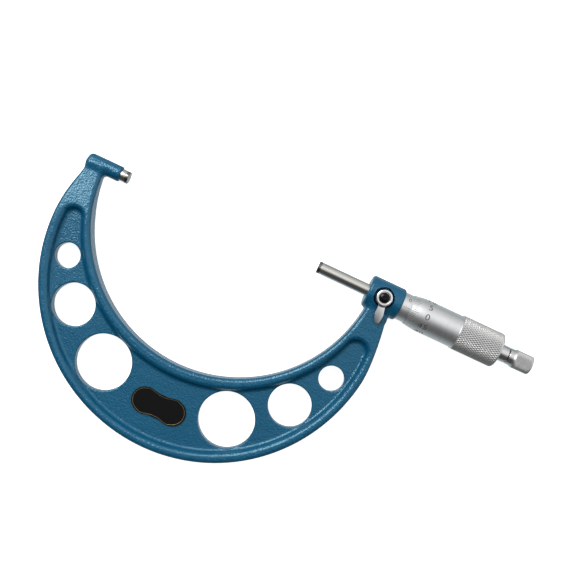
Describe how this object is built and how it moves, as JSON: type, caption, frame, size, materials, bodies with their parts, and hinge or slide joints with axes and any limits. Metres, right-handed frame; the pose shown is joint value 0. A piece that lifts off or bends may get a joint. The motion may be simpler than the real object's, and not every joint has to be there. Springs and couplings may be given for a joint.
{
  "type": "outside micrometer",
  "caption": "Outside micrometer with a C-shaped pierced frame, a fixed anvil, a screw-driven spindle and thimble, a lever lock and a ratchet stop.",
  "frame": {"origin": "centre of the anvil's measuring face", "axes": "+X along the spindle axis from the anvil to the spindle, +Z out of the front of the frame, the C of the frame hangs towards -Y"},
  "size_m": [0.2964, 0.1527, 0.0239],
  "materials": {
    "frame_paint": "blue hammered enamel, satin",
    "ground_steel": "finely ground and polished",
    "carbide": "lapped tungsten carbide",
    "satin_chrome": "satin chrome plate",
    "bright_chrome": "bright chrome plate",
    "black_steel": "black oxide, oiled",
    "brass": "turned",
    "plate_enamel": "black enamel with a brass-coloured line"
  },
  "bodies": {
    "frame_assembly": {"frame": "frame_paint", "anvil": "ground_steel", "anvil_tip": "carbide", "nameplate": "plate_enamel", "inner_sleeve": "ground_steel", "graduated_sleeve": "satin_chrome", "adjusting_nut": "ground_steel", "lock_pad": "brass", "lock_washer": "black_steel"},
    "screw_carriage": {"spindle_tip": "carbide"},
    "thimble_assembly": {"spindle": "ground_steel", "thimble": "satin_chrome", "ratchet_stem": "bright_chrome", "ratchet_spring": "ground_steel", "ratchet_screw": "ground_steel"},
    "ratchet_wheel_body": {"ratchet_wheel": "ground_steel"},
    "ratchet_knob": {"ratchet_cap": "satin_chrome"},
    "lock_lever_assembly": {"lock_lever": "bright_chrome", "lock_screw": "black_steel", "lock_stud": "ground_steel"}
  },
  "joints": [
    {"name": "spindle_travel", "type": "slide", "parent": "frame_assembly", "child": "screw_carriage", "axis": [1, 0, 0], "range_m": [0, 0.025]},
    {"name": "thimble_turn", "type": "hinge", "parent": "screw_carriage", "child": "thimble_assembly", "pos_m": [0.2, 0, 0], "axis": [1, 0, 0], "range_deg": [0, 18000]},
    {"name": "ratchet_click", "type": "slide", "parent": "thimble_assembly", "child": "ratchet_wheel_body", "axis": [-1, 0, 0], "range_m": [0, 0.0006], "stiffness_N_per_m": 2000, "springref_m": -0.001},
    {"name": "ratchet_turn", "type": "hinge", "parent": "thimble_assembly", "child": "ratchet_knob", "pos_m": [0.258, 0, 0], "axis": [1, 0, 0], "continuous": true},
    {"name": "lock_turn", "type": "hinge", "parent": "frame_assembly", "child": "lock_lever_assembly", "pos_m": [0.1678, -0.0005, 0.011], "axis": [0, 0, 1], "range_deg": [-60, 0]}
  ],
  "couplings": [
    {"joint": "thimble_turn", "follows": "spindle_travel", "rad_per_m": 12566}
  ]
}
